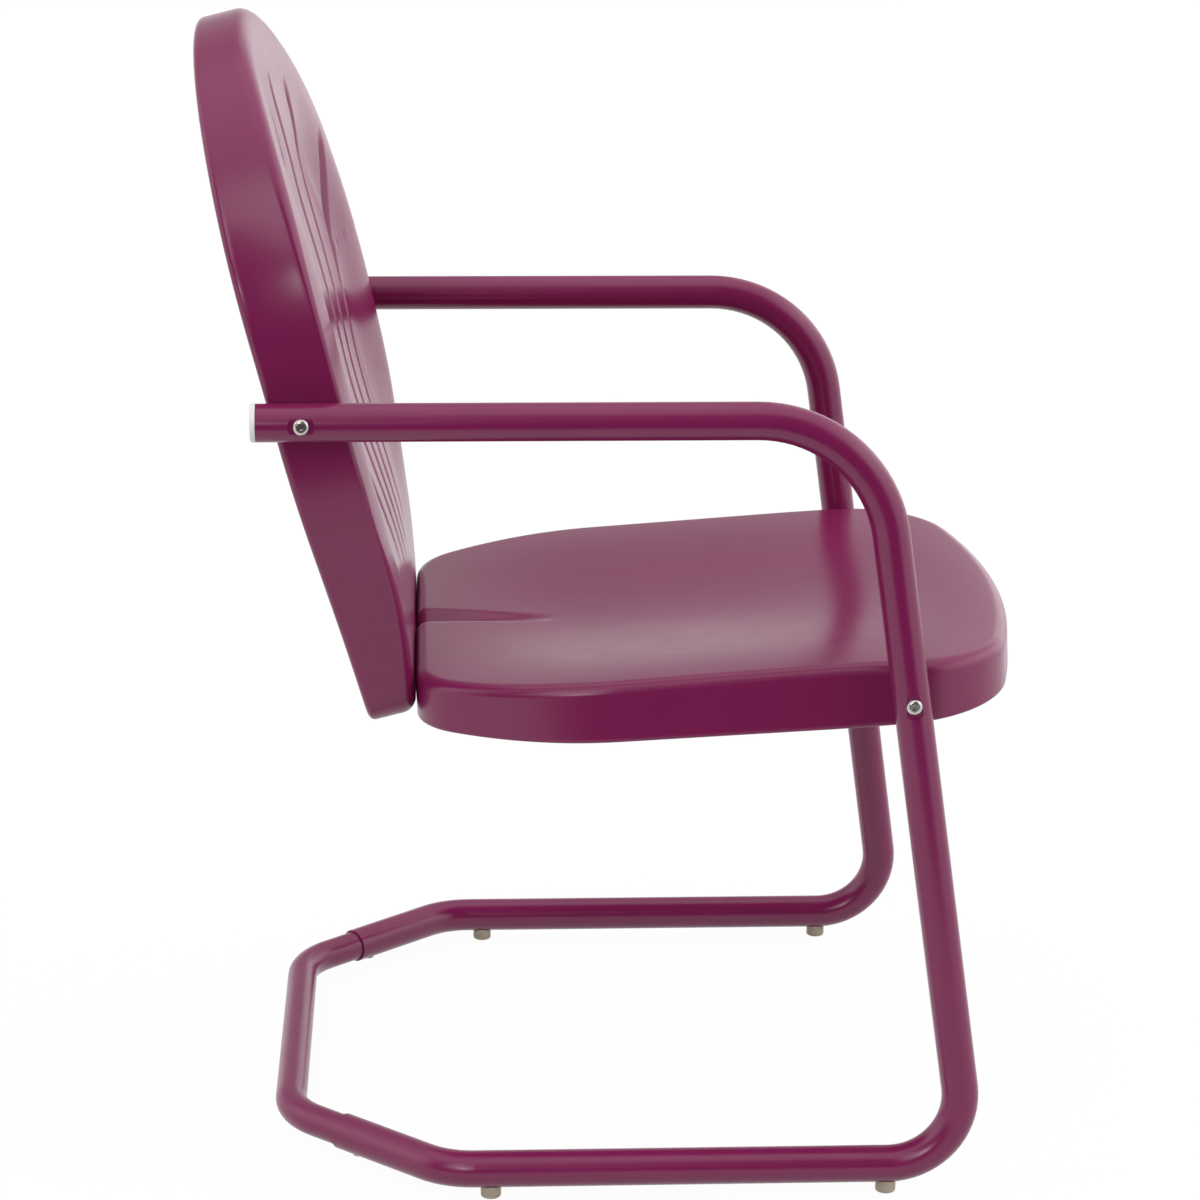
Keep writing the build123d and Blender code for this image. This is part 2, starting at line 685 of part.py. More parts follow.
def foot_glide(x):
    """Plastic foot saddled under the right base rail, with a barbed stem in the rail's hole."""
    floor = Plane(origin=(x, -base_half, 0))
    with BuildPart() as glide:
        with BuildSketch(floor):
            Circle(glide_d / 2)
        extrude(amount=glide_h + glide_d / 4)
        fillet(glide.faces().sort_by(Axis.Z)[0].edges(), 1.2)
        with BuildSketch(Plane(origin=(x - glide_d, -base_half, base_z), z_dir=(1, 0, 0))):
            Circle(tube_r + slide_gap)
        extrude(amount=2 * glide_d, mode=Mode.SUBTRACT)
        with BuildSketch(floor.offset(glide_h - 2.0)):
            Circle(glide_stem_d / 2)
        extrude(amount=2.0 + tube_wall + slide_gap + 1.2)
        with BuildSketch(floor.offset(glide_h + tube_wall + slide_gap + 0.6)):
            Circle(glide_stem_d / 2 + 0.9)
        extrude(amount=3.0, taper=12)
    return glide.part


# Feet: four plastic glides under the base rails
with BuildPart() as right_front_foot:
    add(foot_glide(glide_front_x))
right_front_foot.part.label = "right_front_foot"
export_step(right_front_foot.part, "parts/right_front_foot.step")

with BuildPart() as right_rear_foot:
    add(foot_glide(glide_rear_x))
right_rear_foot.part.label = "right_rear_foot"
export_step(right_rear_foot.part, "parts/right_rear_foot.step")

with BuildPart() as left_front_foot:
    mirror(right_front_foot.part, about=Plane.XZ)
left_front_foot.part.label = "left_front_foot"
export_step(left_front_foot.part, "parts/left_front_foot.step")

with BuildPart() as left_rear_foot:
    mirror(right_rear_foot.part, about=Plane.XZ)
left_rear_foot.part.label = "left_rear_foot"
export_step(left_rear_foot.part, "parts/left_rear_foot.step")
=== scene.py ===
import math

import bmesh
import bpy
import numpy as np
from mathutils import Matrix, Vector


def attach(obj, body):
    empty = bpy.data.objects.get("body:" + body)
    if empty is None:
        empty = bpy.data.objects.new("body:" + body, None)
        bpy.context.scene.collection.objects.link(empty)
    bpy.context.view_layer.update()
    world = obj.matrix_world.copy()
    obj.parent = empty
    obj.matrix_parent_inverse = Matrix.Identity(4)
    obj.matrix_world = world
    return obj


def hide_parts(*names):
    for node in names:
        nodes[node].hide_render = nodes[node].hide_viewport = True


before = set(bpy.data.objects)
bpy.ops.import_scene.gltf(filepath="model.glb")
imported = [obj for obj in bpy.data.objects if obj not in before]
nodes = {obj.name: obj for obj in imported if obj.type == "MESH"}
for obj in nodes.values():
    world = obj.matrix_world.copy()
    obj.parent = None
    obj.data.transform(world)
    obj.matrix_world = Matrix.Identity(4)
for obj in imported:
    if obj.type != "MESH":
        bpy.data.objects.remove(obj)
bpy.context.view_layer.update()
scene = bpy.context.scene
scene.view_settings.view_transform = "Standard"


# Camera at the photograph's viewing angle
CAMERA_AT = Vector((-0.1337, -2.6773, 1.1989))
CAMERA_YAW = 0.0473
CAMERA_PITCH = 0.2917
CAMERA_ROLL = 0.0070
CAMERA_LENS = 105.03
CAMERA_SENSOR = 36.0
CAMERA_REACH = 100.0


def make_camera():
    """The camera looks along +Y at zero angles; yaw turns it, pitch lowers it and roll tips it."""
    level = Matrix(((1, 0, 0), (0, 0, -1), (0, 1, 0)))
    yaw = Matrix.Rotation(CAMERA_YAW, 3, "Z")
    pitch = Matrix.Rotation(CAMERA_PITCH, 3, "X")
    roll = Matrix.Rotation(CAMERA_ROLL, 3, "Z")
    seen = roll @ pitch @ level @ yaw
    turned = (Matrix.Diagonal((1, -1, -1)) @ seen).transposed()
    data = bpy.data.cameras.new("camera")
    data.sensor_width = CAMERA_SENSOR
    data.lens = CAMERA_LENS
    data.clip_end = CAMERA_REACH
    camera = bpy.data.objects.new("camera", data)
    camera.matrix_world = Matrix.Translation(CAMERA_AT) @ turned.to_4x4()
    scene.collection.objects.link(camera)
    scene.camera = camera


# Node helpers
RAMP_STOPS = (0.3, 0.7)
CLOUD_SPAN = (0.2, 0.8)


def new_material(name):
    material = bpy.data.materials.new(name)
    material.use_nodes = True
    tree = material.node_tree
    return material, tree, tree.nodes["Principled BSDF"]


def link(tree, out, into):
    tree.links.new(out, into)


def coordinates(tree):
    return tree.nodes.new("ShaderNodeTexCoord").outputs["Object"]


def noise(tree, where, scale, detail=2.0, rough=0.5):
    node = tree.nodes.new("ShaderNodeTexNoise")
    node.inputs["Scale"].default_value = scale
    node.inputs["Detail"].default_value = detail
    node.inputs["Roughness"].default_value = rough
    link(tree, where, node.inputs["Vector"])
    return node.outputs["Fac"]


def ramp(tree, value, dark, light):
    node = tree.nodes.new("ShaderNodeValToRGB")
    for element, place, colour in zip(node.color_ramp.elements, RAMP_STOPS, (dark, light)):
        element.position = place
        element.color = (*colour, 1.0)
    link(tree, value, node.inputs["Fac"])
    return node.outputs["Color"]


def remap(tree, value, low, high, to_low, to_high, smooth=False):
    node = tree.nodes.new("ShaderNodeMapRange")
    if smooth:
        node.interpolation_type = "SMOOTHSTEP"
    node.inputs["From Min"].default_value = low
    node.inputs["From Max"].default_value = high
    node.inputs["To Min"].default_value = to_low
    node.inputs["To Max"].default_value = to_high
    link(tree, value, node.inputs["Value"])
    return node.outputs["Result"]


def math_node(tree, kind, *values):
    node = tree.nodes.new("ShaderNodeMath")
    node.operation = kind
    for socket, value in zip(node.inputs, values):
        if isinstance(value, (int, float)):
            socket.default_value = value
        else:
            link(tree, value, socket)
    return node.outputs["Value"]


def bump(tree, height, strength, distance):
    node = tree.nodes.new("ShaderNodeBump")
    node.inputs["Strength"].default_value = strength
    node.inputs["Distance"].default_value = distance
    link(tree, height, node.inputs["Height"])
    return node.outputs["Normal"]


# Materials
PLUM = (0.216, 0.0112, 0.085)
PLUM_DRIFT = 0.03
PLUM_GLOSS = (0.23, 0.26)
PLUM_PEEL = 0.04
PLUM_INDEX = 1.5
GRAIN_STRENGTH = 0.15
GRAIN_HEIGHT = 0.0002


def plum_paint():
    """Semi-gloss powder coat: slight mottling, uneven gloss and a fine orange-peel skin."""
    material, tree, shader = new_material("plum_paint")
    where = coordinates(tree)
    dark, light = (
        tuple(channel * share for channel in PLUM) for share in (1 - PLUM_DRIFT, 1 + PLUM_DRIFT)
    )
    mottle = noise(tree, where, scale=14.0, detail=3.0)
    link(tree, ramp(tree, mottle, dark, light), shader.inputs["Base Color"])
    gloss = noise(tree, where, scale=45.0, detail=3.0)
    link(tree, remap(tree, gloss, *RAMP_STOPS, *PLUM_GLOSS), shader.inputs["Roughness"])
    peel = noise(tree, where, scale=420.0)
    link(tree, bump(tree, peel, PLUM_PEEL, GRAIN_HEIGHT), shader.inputs["Normal"])
    shader.inputs["IOR"].default_value = PLUM_INDEX
    return material


def clouded(name, scale, detail, rough, dark, light, gloss, metallic=0.0, grain=None):
    """A material whose colour and gloss drift together, with a fine moulded grain where one is given."""
    material, tree, shader = new_material(name)
    where = coordinates(tree)
    cloud = noise(tree, where, scale, detail, rough)
    link(tree, ramp(tree, cloud, dark, light), shader.inputs["Base Color"])
    link(tree, remap(tree, cloud, *CLOUD_SPAN, *gloss), shader.inputs["Roughness"])
    shader.inputs["Metallic"].default_value = metallic
    if grain is not None:
        skin = bump(tree, noise(tree, where, grain), GRAIN_STRENGTH, GRAIN_HEIGHT)
        link(tree, skin, shader.inputs["Normal"])
    return material


def stainless():
    """Turned stainless steel of the bolt heads."""
    return clouded(
        "stainless", scale=900.0, detail=4.0, rough=0.5,
        dark=(0.50, 0.48, 0.45), light=(0.66, 0.64, 0.61), gloss=(0.18, 0.34), metallic=1.0,
    )


def zinc_plate():
    """Zinc-plated steel of the nuts and washers, a little cloudy."""
    return clouded(
        "zinc_plate", scale=260.0, detail=4.0, rough=0.6,
        dark=(0.40, 0.41, 0.43), light=(0.56, 0.57, 0.58), gloss=(0.30, 0.48), metallic=1.0,
    )


def cap_plastic():
    """White moulded plastic with a fine matt grain."""
    return clouded(
        "cap_plastic", scale=120.0, detail=3.0, rough=0.5,
        dark=(0.88, 0.87, 0.87), light=(0.93, 0.92, 0.92), gloss=(0.40, 0.52), grain=1800.0,
    )


def glide_plastic():
    """Beige moulded plastic of the feet, cloudy and a little rubbed."""
    return clouded(
        "glide_plastic", scale=190.0, detail=4.0, rough=0.6,
        dark=(0.42, 0.35, 0.25), light=(0.60, 0.52, 0.41), gloss=(0.34, 0.50), grain=1500.0,
    )


def dress_nodes():
    """Every CAD node takes the material of its slot, which the last word of its name gives."""
    finishes = {
        "plum_paint": plum_paint(),
        "stainless": stainless(),
        "zinc_plate": zinc_plate(),
        "cap_plastic": cap_plastic(),
        "glide_plastic": glide_plastic(),
    }
    slots = {
        "tube": "plum_paint",
        "shell": "plum_paint",
        "pan": "plum_paint",
        "bolt": "stainless",
        "screw": "stainless",
        "nut": "zinc_plate",
        "washer": "zinc_plate",
        "cap": "cap_plastic",
        "foot": "glide_plastic",
    }
    for name, node in nodes.items():
        slot = slots[name.split("_")[-1]]
        node.data.materials.clear()
        node.data.materials.append(finishes[slot])
        for polygon in node.data.polygons:
            polygon.use_smooth = True
    return finishes


# The two pressed sheets, in millimetres. On the back u runs up its leaning plane, on the seat s runs
# forward on its tilted plane; y runs across to the left and n out of the plane. A soft step is given
# as where it starts and how far it runs, a hump as its middle and its width.
MILLIMETRES = 1000.0
SHEET = 1.5
OUTLINE_PITCH = 0.5
SHARP_ANGLE = math.radians(50.0)
QUARTER = math.pi / 2

# Back: outline
BACK_RAKE = math.radians(14.35)
BACK_AT = (-188.0, 340.0)
BACK_HALF = 214.3
BACK_FOOT_HALF = 150.0
BACK_WAIST_U = 196.0
BACK_WAIST_BEND = 300.0
BACK_CORNER = 24.0
BACK_ARCH_U = 316.2
BACK_SIDE_RUN = 4

# Back: bowed depth, turn about its middle line, and rim that curls forward over the crown
BACK_DEPTH = 66.5
BACK_CROWN = 0.0003236
BACK_CROWN_U = 306.0
BACK_TURN = 0.014
BACK_TURN_STEP = (40.0, 200.0)
BACK_CURL_U = 396.0
BACK_CURL_RADIUS = 3600.0
BACK_BEAD = 5.0
BACK_LIP = 9.0

# Back: field pressed in behind a raised border, shallower and wider-edged under the arch
BACK_SINK_STEP = (50.0, 200.0)
BACK_SKEW = 0.012
BACK_CREST = 5.6
BACK_CREST_FALL = 1.8
BACK_CREST_STEP = (380.0, 130.0)
BACK_FIELD = 16.0
BACK_FIELD_IN = 26.0
BACK_FIELD_RUN = 66.0
BACK_ROUND_STEP = (310.0, 180.0)
BACK_ROUND_IN = 16.0
BACK_ROUND_RUN = 50.0
BACK_RISING = 4.4
BACK_RISING_HUMP = (430.0, 36.0)
BACK_RISING_ASIDE = (60.0, 70.0)

# Back: sides between foot and crown, with a sloping shoulder, a tight front edge and a flared flange
BACK_SIDE_START = (60.0, 110.0)
BACK_SIDE_END = (310.0, 170.0)
BACK_SHOULDER = 5.0
BACK_SHOULDER_IN = 32.0
BACK_SHOULDER_POWER = 1.6
BACK_ROLL = 10.0
BACK_ROLL_LESS = (6.5, 7.0)
BACK_ROLL_MORE = (5.0, 1.0)
BACK_ROLL_STEP = (440.0, 90.0)
BACK_FLARE = 4.5
BACK_FLARE_HUMP = (370.0, 55.0)
BACK_FLARE_HIGH = 50.0

# Flutes: across at the top and at the foot, then up at the top and at the foot
FLUTES = ((0.0, 0.0, 481.0, 66.0), (75.0, 32.0, 463.0, 68.0), (155.0, 68.0, 406.0, 80.0))
FLUTE_FAN = 1.5
FLUTE_HALF = 8.5
FLUTE_FOOT_SHARE = 0.75
FLUTE_DEPTH = 3.6
FLUTE_TOP_RUN = 22.0
FLUTE_FOOT_RUN = 70.0

# Seat: outline
SEAT_TILT = math.radians(3.1)
SEAT_AT = (1.0, 352.6)
SEAT_HALF = 224.44
SEAT_FRONT = 313.0
SEAT_FRONT_RADIUS = 690.0
SEAT_FRONT_CORNER = 90.0
SEAT_REAR_CORNER = 60.0
SEAT_TAPER_RADIUS = 222.0
SEAT_REAR = -153.56
SEAT_SIDE_RUN = 3

# Seat: skirt, dish, rolled front and groove
SEAT_SKIRT = 41.1
SEAT_GAIN = 0.0195
SEAT_SIDE_START = (-150.0, 130.0)
SEAT_SIDE_END = (150.0, 120.0)
SEAT_SIDE_RISE = 2.0
SEAT_SIDE_LEAN = 3.0
SEAT_SIDE_DROP = 1.8
SEAT_DISH = 14.0
SEAT_DISH_START = (SEAT_REAR - 10.0, 150.0)
SEAT_DISH_END = (75.0, 235.0)
SEAT_RIDGE = 215.0
SEAT_FRONT_DROP = 8.0
SEAT_FRONT_RUN = (200.0, 120.0)
SEAT_ROLL = 9.5
SEAT_LIFT_S = 225.0
SEAT_LIFT_RADIUS = 775.0
SEAT_BEAD = 2.4
SEAT_LIP = 5.0
GROOVE_LENGTH = 112.0
GROOVE_DEPTH = 10.0
GROOVE_HALF = 20.0
GROOVE_TAPER = 0.55

# Mesh of a sheet: columns in half its width and rows, the power by which the columns bend to the
# side's line, and the rings round its edge, flange and rim
BACK_GRID = (130, 110)
SEAT_GRID = (110, 110)
GRID_SWING = 6
ROLL_RINGS = 12
FLANGE_RINGS = 16
BEAD_RINGS = 6
INNER_BEAD_RINGS = 4
INNER_RINGS = 8


def ease(value):
    value = np.clip(value, 0.0, 1.0)
    return value * value * (3 - 2 * value)


def step(value, span):
    """Soft step from nought to one."""
    start, run = span
    return ease((value - start) / run)


def hump(value, span):
    """Soft hump of height one."""
    middle, width = span
    return np.exp(-((value - middle) / width) ** 2)


def back_side(u):
    """One at the sides of the back, falling to nothing at its crown and foot."""
    return step(u, BACK_SIDE_START) * (1 - step(u, BACK_SIDE_END))


def back_edge(u, y):
    """Distance in from the back's side edge, straight below the arch and round within it."""
    lean = (BACK_HALF - BACK_FOOT_HALF) / BACK_WAIST_U
    narrowed = np.minimum(u - BACK_WAIST_U, 0.0) * lean
    straight = (BACK_HALF + narrowed - np.abs(y)) / math.hypot(1.0, lean)
    round_in = BACK_HALF - np.hypot(np.maximum(u - BACK_ARCH_U, 0.0), y)
    return np.maximum(0.0, np.where(u > BACK_ARCH_U, round_in, straight))


def back_front(u, y):
    """Height of the back's front skin over its rim, with the field and the flutes pressed into it."""
    edge = back_edge(u, y)
    rounding = step(u, BACK_ROUND_STEP)
    field_in = BACK_FIELD_IN - BACK_ROUND_IN * rounding
    field = ease((edge - field_in) / (BACK_FIELD_RUN + BACK_ROUND_RUN * rounding))
    rising = BACK_RISING * hump(u, BACK_RISING_HUMP) * (1 - step(np.abs(y), BACK_RISING_ASIDE))
    crest = BACK_CREST + BACK_CREST_FALL * step(u, BACK_CREST_STEP)
    sunk = crest + (BACK_FIELD - rising) * field - BACK_SKEW * y
    bowed = BACK_DEPTH - BACK_CROWN * (u - BACK_CROWN_U) ** 2
    skin = bowed - step(u, BACK_SINK_STEP) * sunk
    shoulder = np.maximum(0.0, 1 - edge / BACK_SHOULDER_IN) ** BACK_SHOULDER_POWER
    skin = skin - back_side(u) * BACK_SHOULDER * shoulder
    for top_y, foot_y, top_u, foot_u in FLUTES:
        share = np.clip((u - foot_u) / (top_u - foot_u), 0.0, 1.0)
        middle = foot_y + (top_y - foot_y) * share ** FLUTE_FAN
        half = FLUTE_HALF * (FLUTE_FOOT_SHARE + (1 - FLUTE_FOOT_SHARE) * share)
        aside = np.clip((np.abs(y) - middle) / half, -1.0, 1.0)
        ends = np.sqrt(ease((top_u - u) / FLUTE_TOP_RUN)) * ease((u - foot_u) / FLUTE_FOOT_RUN)
        skin = skin - FLUTE_DEPTH * ends * (1 - aside * aside) ** 2
    return skin


def back_rim(u, y):
    """The rim curls forward a little over the crown."""
    past = np.maximum(0.0, u - BACK_CURL_U)
    return BACK_CURL_RADIUS - np.sqrt(BACK_CURL_RADIUS ** 2 - past * past)


def back_roll(u, y):
    """Reach, drop and lean of the front edge: tight beside the shoulders, softer at crown and foot."""
    side = back_side(u)
    crown = step(u, BACK_ROLL_STEP)
    reach, drop = (
        BACK_ROLL - less * side + more * crown for less, more in zip(BACK_ROLL_LESS, BACK_ROLL_MORE)
    )
    return reach, drop, np.zeros_like(u)


def back_bulge(u, y, n):
    """The deep flange flares towards its rim below the arch."""
    low = np.maximum(0.0, 1 - n / BACK_FLARE_HIGH)
    return BACK_FLARE * hump(u, BACK_FLARE_HUMP) * low ** 2


def back_place(u, y, n):
    """Point of the back in metres, in the chair's frame."""
    turn = BACK_TURN * step(u, BACK_TURN_STEP) * y
    x = BACK_AT[0] - u * math.sin(BACK_RAKE) + n * math.cos(BACK_RAKE) + turn
    z = BACK_AT[1] + u * math.cos(BACK_RAKE) + n * math.sin(BACK_RAKE)
    return np.stack((x, y, z), axis=-1) / MILLIMETRES


def seat_side(s):
    """One along the straight sides of the seat, falling to nothing at its rear and its nose."""
    return step(s, SEAT_SIDE_START) * (1 - step(s, SEAT_SIDE_END))


def seat_top(s, y):
    """Height of the seat's top skin over its lower edge: dish, front roll and groove."""
    level = SEAT_SKIRT + SEAT_GAIN * s + SEAT_SIDE_RISE * seat_side(s)
    dish_front, dish_run = SEAT_DISH_END
    past = np.maximum(s - dish_front, 0.0) / dish_run
    along = step(s, SEAT_DISH_START) * np.maximum(0.0, 1 - past ** 2) ** 2
    across = 0.5 + 0.5 * np.cos(math.pi * np.minimum(np.abs(y), SEAT_RIDGE) / SEAT_RIDGE)
    front_s, front_run = SEAT_FRONT_RUN
    front = np.maximum(0.0, (s - front_s) / front_run)
    skin = level - SEAT_DISH * along * across - SEAT_FRONT_DROP * front * front
    share = np.clip((s - SEAT_REAR) / GROOVE_LENGTH, 0.0, 1.0)
    half = GROOVE_HALF * (1 - GROOVE_TAPER * share)
    aside = np.clip(np.abs(y) / half, 0.0, 1.0)
    return skin - GROOVE_DEPTH * (1 - share) * (1 - aside * aside) ** 2


def seat_rim(s, y):
    """The skirt's lower edge hangs a little at the sides and lifts at the front."""
    past = np.maximum(0.0, s - SEAT_LIFT_S)
    lift = SEAT_LIFT_RADIUS - np.sqrt(SEAT_LIFT_RADIUS ** 2 - past * past)
    return lift - SEAT_SIDE_DROP * seat_side(s)


def seat_roll(s, y):
    """One radius all round, with the side skirts leaning in a little towards the top."""
    radius = np.full_like(s, SEAT_ROLL)
    return radius, radius, SEAT_SIDE_LEAN * seat_side(s)


def seat_bulge(s, y, n):
    """The seat's skirt has no flare."""
    return np.zeros_like(s)


def seat_place(s, y, n):
    """Point of the seat in metres, in the chair's frame."""
    x = SEAT_AT[0] + s * math.cos(SEAT_TILT) - n * math.sin(SEAT_TILT)
    z = SEAT_AT[1] + s * math.sin(SEAT_TILT) + n * math.cos(SEAT_TILT)
    return np.stack((x, y, z), axis=-1) / MILLIMETRES


# Outlines, as runs of points with their outward ways
def line_run(start, end):
    start, end = np.array(start, float), np.array(end, float)
    length = np.linalg.norm(end - start)
    share = np.arange(0.0, 1.0, OUTLINE_PITCH / length)[:, None]
    way = (end - start) / length
    return start + (end - start) * share, np.repeat([[-way[1], way[0]]], len(share), axis=0)


def arc_run(centre, radius, start, end):
    share = np.arange(0.0, 1.0, OUTLINE_PITCH / (abs(end - start) * radius))
    angle = start + (end - start) * share
    out = np.stack((np.cos(angle), np.sin(angle)), axis=1)
    return np.array(centre, float) + radius * out, out


def back_outline():
    """Half of the back's outline from the middle of the foot to the crown, and its side's run."""
    rise = math.hypot(BACK_WAIST_U, BACK_HALF - BACK_FOOT_HALF)
    lean = (BACK_HALF - BACK_FOOT_HALF) / rise
    steep = BACK_WAIST_U / rise
    slope = math.atan2(steep, -lean)
    corner = (BACK_CORNER, BACK_FOOT_HALF + (lean * BACK_CORNER - BACK_CORNER) / steep)
    bend_y = BACK_HALF - BACK_WAIST_BEND
    bend = ((BACK_WAIST_BEND + steep * (bend_y - BACK_FOOT_HALF)) / lean, bend_y)
    low = (corner[0] - lean * BACK_CORNER, corner[1] + steep * BACK_CORNER)
    high = (bend[0] - lean * BACK_WAIST_BEND, bend[1] + steep * BACK_WAIST_BEND)
    runs = [
        line_run((0.0, 0.0), (0.0, corner[1])),
        arc_run(corner, BACK_CORNER, math.pi, slope),
        line_run(low, high),
        arc_run(bend, BACK_WAIST_BEND, slope, QUARTER),
        line_run((bend[0], BACK_HALF), (BACK_ARCH_U, BACK_HALF)),
        arc_run((BACK_ARCH_U, 0.0), BACK_HALF, QUARTER, 0.0),
    ]
    return runs, BACK_SIDE_RUN


def seat_outline():
    """Half of the seat's outline from the middle of the rear edge to the nose, and its side's run."""
    taper_y = SEAT_HALF - SEAT_TAPER_RADIUS
    inner = SEAT_TAPER_RADIUS - SEAT_REAR_CORNER
    rear_s = SEAT_REAR + SEAT_REAR_CORNER
    rear_y = taper_y + math.sqrt(inner ** 2 - rear_s ** 2)
    rear_turn = math.atan2(rear_y - taper_y, rear_s)
    nose = SEAT_FRONT - SEAT_FRONT_RADIUS
    side_y = SEAT_HALF - SEAT_FRONT_CORNER
    side_s = nose + math.sqrt((SEAT_FRONT_RADIUS - SEAT_FRONT_CORNER) ** 2 - side_y ** 2)
    front_turn = math.atan2(side_y, side_s - nose)
    runs = [
        line_run((SEAT_REAR, 0.0), (SEAT_REAR, rear_y)),
        arc_run((rear_s, rear_y), SEAT_REAR_CORNER, math.pi, rear_turn),
        arc_run((0.0, taper_y), SEAT_TAPER_RADIUS, rear_turn, QUARTER),
        line_run((0.0, SEAT_HALF), (side_s, SEAT_HALF)),
        arc_run((side_s, side_y), SEAT_FRONT_CORNER, QUARTER, front_turn),
        arc_run((nose, 0.0), SEAT_FRONT_RADIUS, front_turn, 0.0),
    ]
    return runs, SEAT_SIDE_RUN


# Meshes
def add_piece(name, points, faces):
    mesh = bpy.data.meshes.new(name)
    mesh.from_pydata(points, [], faces)
    piece = bpy.data.objects.new(name, mesh)
    scene.collection.objects.link(piece)
    return piece


def rows_at(table, where):
    """Rows of a table at row numbers that may fall between two rows."""
    number = np.arange(len(table))
    return np.stack([np.interp(where, number, column) for column in table.T], axis=1)


def flat_grid(drawn, rear, front, sides):
    """Flat points inside the drawn line, column by column from the right, each from rear to front."""
    rear_points, front_points = rows_at(drawn, rear), rows_at(drawn, front)
    share = np.linspace(0.0, 1.0, len(sides))
    grid = rear_points[:, None] + (front_points - rear_points)[:, None] * share[None, :, None]
    swing = rows_at(drawn, sides) - grid[-1]
    swung = np.linspace(0.0, 1.0, len(rear)) ** GRID_SWING
    grid = grid + swing[None] * swung[:, None, None]
    return np.concatenate((grid[:0:-1] * np.array([1.0, -1.0]), grid))


def grid_border(wide, high):
    """Numbers of the grid's border points, once round."""
    border = [column * high for column in range(wide)]
    border += [(wide - 1) * high + row for row in range(1, high)]
    border += [column * high + high - 1 for column in range(wide - 2, -1, -1)]
    border += list(range(high - 2, 0, -1))
    return border


def border_places(rear, front, sides):
    """Place of each border point in the table of half the outline, and the side that it lies on."""
    columns, rows = len(rear) - 1, len(sides) - 1
    places = [(rear[abs(j)], j) for j in range(-columns, columns + 1)]
    places += [(sides[k], 1) for k in range(1, rows + 1)]
    places += [(front[abs(j)], j) for j in range(columns - 1, -columns - 1, -1)]
    places += [(sides[k], -1) for k in range(rows - 1, 0, -1)]
    where = np.array([place for place, _ in places])
    hand = np.array([-1.0 if j < 0 else 1.0 for _, j in places])
    return where, hand


def edge_rings(edge, way, reach, skin, rim, bulge, bead, lip):
    """Rings of points from the skin's edge down the flange, round the beaded rim and up again inside."""
    wide_in, drop, lean = reach.T
    rings = []

    def inward(line, distance):
        return line - way * np.reshape(distance, (-1, 1))

    def flange(line, part, thick):
        n = top + (foot + bead - top) * part
        swell = bulge(*line.T, n) - lean * (1 - part)
        return inward(line, thick - swell), n

    for angle in np.linspace(0.0, QUARTER, ROLL_RINGS + 1)[1:]:
        flat = inward(edge, lean + wide_in * (1 - math.sin(angle)))
        rings.append((flat, skin(*flat.T) - drop * (1 - math.cos(angle))))
    top = rings[-1][1]
    foot = rim(*edge.T)
    rings += [flange(edge, part, 0.0) for part in np.linspace(0.0, 1.0, FLANGE_RINGS + 1)[1:]]
    hem = inward(edge, -bulge(*edge.T, foot + bead))
    for angle in np.linspace(0.0, QUARTER, BEAD_RINGS + 1)[1:]:
        rings.append((inward(hem, bead * (1 - math.cos(angle))), foot + bead * (1 - math.sin(angle))))
    rings.append((inward(hem, lip), foot))
    rings.append((inward(hem, lip), foot + SHEET))
    inner_bead = bead - SHEET
    for angle in np.linspace(QUARTER, 0.0, INNER_BEAD_RINGS + 1):
        n = foot + SHEET + inner_bead * (1 - math.sin(angle))
        rings.append((inward(hem, SHEET + inner_bead * (1 - math.cos(angle))), n))
    inner = inward(hem, bulge(*hem.T, foot + bead))
    rings += [flange(inner, part, SHEET) for part in np.linspace(1.0, 0.0, INNER_RINGS + 1)[1:]]
    for angle in np.linspace(QUARTER, 0.0, INNER_RINGS + 1)[1:-1]:
        flat = inward(inner, lean + SHEET + (wide_in - SHEET) * (1 - math.sin(angle)))
        rings.append((flat, skin(*flat.T) - SHEET - (drop - SHEET) * (1 - math.cos(angle))))
    return rings


def sheet_faces(border, wide, high, rings):
    """Faces of the outer skin, of the rings round it and of the inner skin, by point numbers."""
    around = len(border)
    base = wide * high
    under = base + around * rings
    faces = []
    for column in range(wide - 1):
        for row in range(high - 1):
            a = column * high + row
            b = a + high
            faces.append((a, b, b + 1, a + 1))
            faces.append((under + a, under + a + 1, under + b + 1, under + b))
    chain = [border]
    chain += [range(base + around * k, base + around * (k + 1)) for k in range(rings)]
    chain.append([under + number for number in border])
    for upper, lower in zip(chain, chain[1:]):
        for k in range(around):
            after = (k + 1) % around
            faces.append((upper[k], lower[k], lower[after], upper[after]))
    return faces


